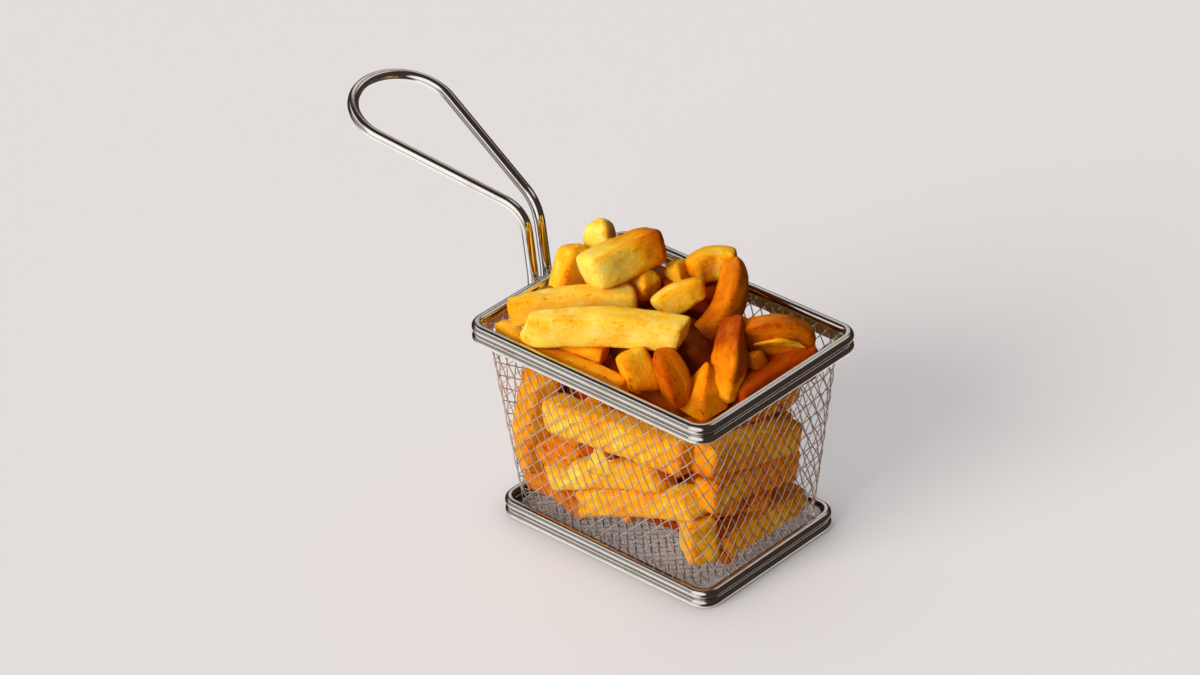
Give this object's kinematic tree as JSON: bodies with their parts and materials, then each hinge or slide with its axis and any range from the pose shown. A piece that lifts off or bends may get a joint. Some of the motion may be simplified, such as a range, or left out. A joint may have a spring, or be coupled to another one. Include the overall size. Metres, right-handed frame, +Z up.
{
  "type": "french fries portion in a mini wire fryer basket",
  "caption": "Heap of chunky french fries served in a small rectangular stainless steel wire mesh basket with a looped wire handle.",
  "frame": {"origin": "bottom centre of the whole box: on the surface that the base frame stands on, half way along the length from the handle's tip to the far side of the rim, and in the basket's middle plane", "axes": "+Z up, X along the basket's long side with the handle towards -X, Y across the basket"},
  "size_m": [0.212, 0.091, 0.1421],
  "materials": {
    "folded_steel": "polished stainless strip, folded in two beads",
    "handle_wire": "polished stainless wire",
    "wire_cloth": "bright woven stainless wire",
    "fried_potato": "golden fried potato with a thin film of oil"
  },
  "bodies": {
    "root": {"top_rim": "folded_steel", "base_frame": "folded_steel", "handle": "handle_wire", "mesh_front": "wire_cloth", "mesh_right": "wire_cloth", "mesh_back": "wire_cloth", "mesh_left": "wire_cloth", "mesh_floor": "wire_cloth", "fries_heap": "fried_potato"}
  },
  "joints": []
}
